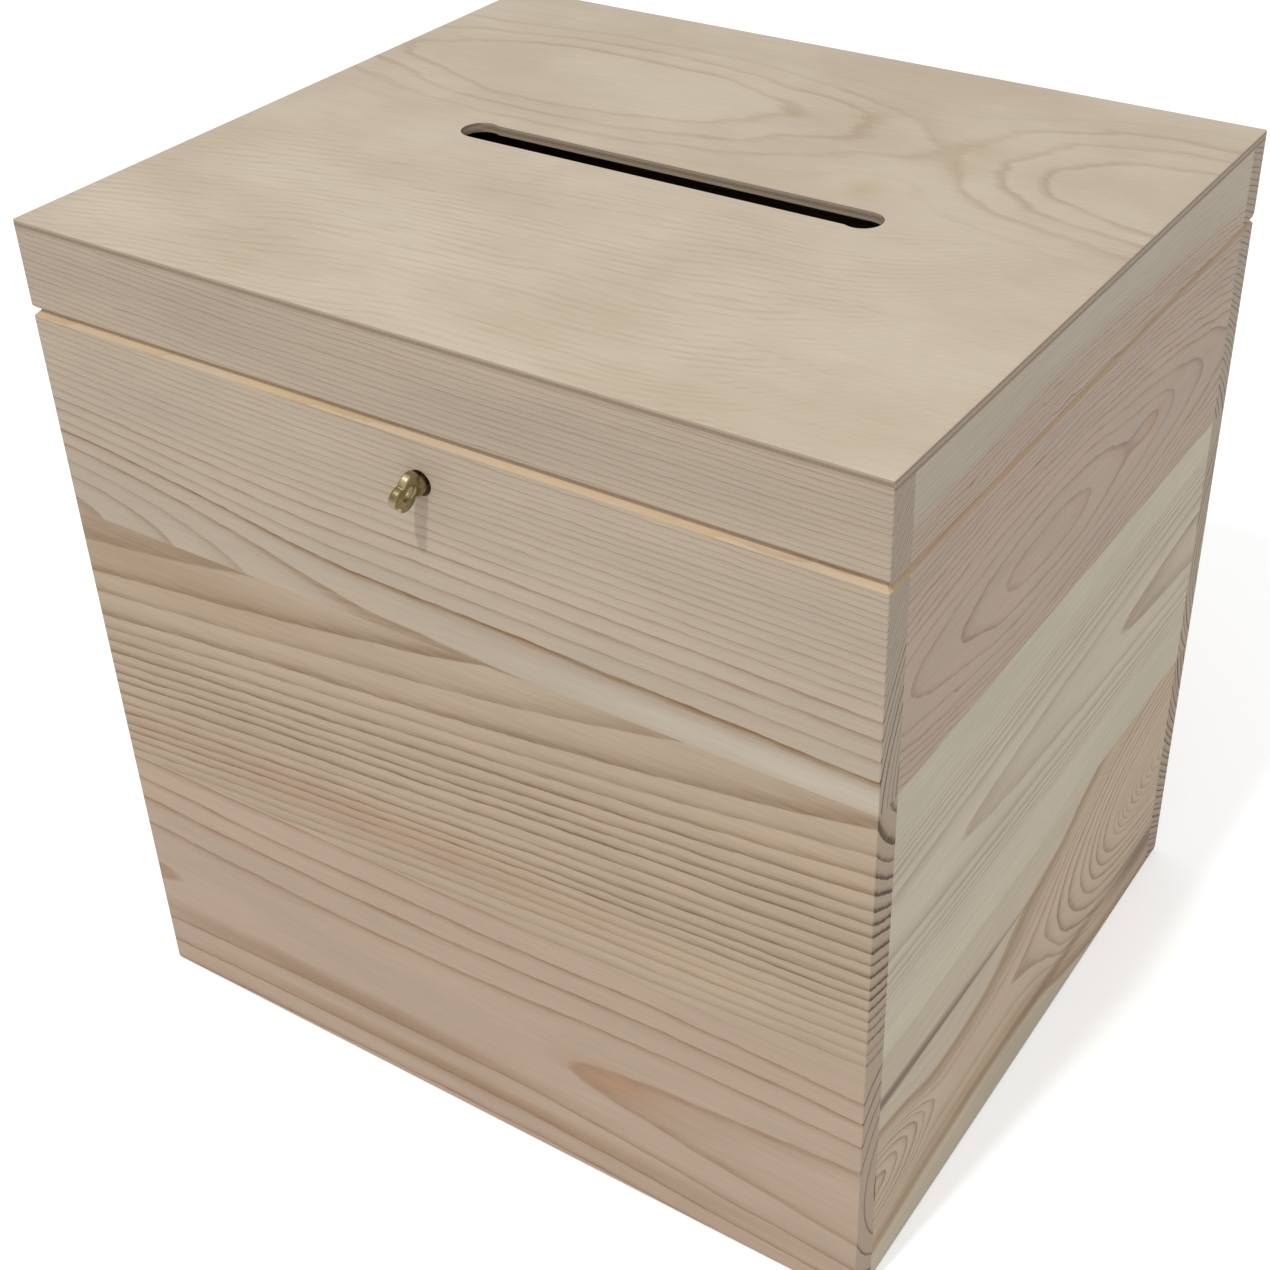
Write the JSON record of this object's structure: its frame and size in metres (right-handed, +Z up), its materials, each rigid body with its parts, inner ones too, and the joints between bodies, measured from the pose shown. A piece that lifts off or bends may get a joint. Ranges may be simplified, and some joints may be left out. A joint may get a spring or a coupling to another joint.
{
  "type": "envelope box",
  "caption": "Pine box with a hinged plywood-topped lid, an envelope slot in the lid, and a keyed rim lock that holds the lid shut.",
  "frame": {"origin": "middle of the underside of the box, on the surface that it stands on", "axes": "+X to the right of someone facing the keyhole, +Y from the keyhole side to the hinged side, +Z up"},
  "size_m": [0.29, 0.2653, 0.2978],
  "materials": {
    "pine": "raw, sanded",
    "plywood": "raw, sanded",
    "aged_brass": "dark aged brass",
    "brass": "satin brass",
    "steel": "bright rolled steel"
  },
  "bodies": {
    "box": {"front_lower_board": "pine", "front_middle_board": "pine", "front_upper_board": "pine", "back_lower_board": "pine", "back_middle_board": "pine", "back_upper_board": "pine", "left_lower_board": "pine", "left_middle_board": "pine", "left_upper_board": "pine", "right_lower_board": "pine", "right_middle_board": "pine", "right_upper_board": "pine", "base_panel": "plywood", "lock_case": "brass", "lock_base_plate": "steel", "lock_spring": "steel", "lock_screws": "brass", "left_hinge_box_leaf": "brass", "right_hinge_box_leaf": "brass", "left_hinge_pin": "brass", "right_hinge_pin": "brass", "hinge_box_screws": "brass"},
    "lid": {"lid_front_rail": "pine", "lid_back_rail": "pine", "lid_left_rail": "pine", "lid_right_rail": "pine", "lid_top_panel": "plywood", "lock_strike": "brass", "strike_screws": "brass", "left_hinge_lid_leaf": "brass", "right_hinge_lid_leaf": "brass", "hinge_lid_screws": "brass"},
    "plug": {"lock_plug": "brass"},
    "bolt": {"lock_bolt": "steel"},
    "key": {"key": "aged_brass"}
  },
  "joints": [
    {"name": "lid_hinge", "type": "hinge", "parent": "box", "child": "lid", "pos_m": [0, 0.1262, 0.26875], "axis": [-1, 0, 0], "range_deg": [0, 180]},
    {"name": "key_turn", "type": "hinge", "parent": "box", "child": "plug", "pos_m": [0.002, -0.1145, 0.2533], "axis": [0, -1, 0], "range_deg": [0, 180]},
    {"name": "key_withdraw", "type": "slide", "parent": "plug", "child": "key", "axis": [0, -1, 0], "range_m": [0, 0.03]},
    {"name": "bolt_slide", "type": "slide", "parent": "box", "child": "bolt", "axis": [-1, 0, 0], "range_m": [0, 0.006]}
  ],
  "couplings": [
    {"joint": "bolt_slide", "follows": "key_turn", "m_per_rad": 0.0019099}
  ]
}
